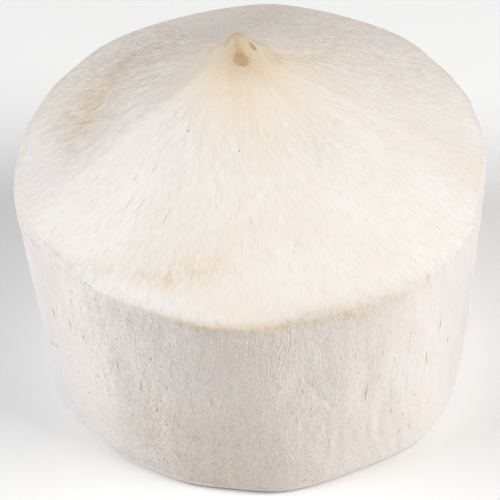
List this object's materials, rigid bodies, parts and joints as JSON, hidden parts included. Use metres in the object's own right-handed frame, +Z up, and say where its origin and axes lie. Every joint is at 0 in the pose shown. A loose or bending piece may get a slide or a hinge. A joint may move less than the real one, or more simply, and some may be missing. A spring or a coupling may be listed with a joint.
{
  "type": "trimmed young coconut",
  "caption": "Trimmed young coconut: a white fibrous husk cut to a straight planed wall, a low pointed cone on top and a flat base to stand on.",
  "frame": {"origin": "middle of the flat base that the coconut stands on", "axes": "+Z up along the nut's axis towards the pointed tip, -Y towards the front that the picture shows"},
  "size_m": [0.1206, 0.1214, 0.1079],
  "materials": {
    "coconut": "matt white husk fibre, cut surface"
  },
  "bodies": {
    "root": {"coconut": "coconut"}
  },
  "joints": []
}
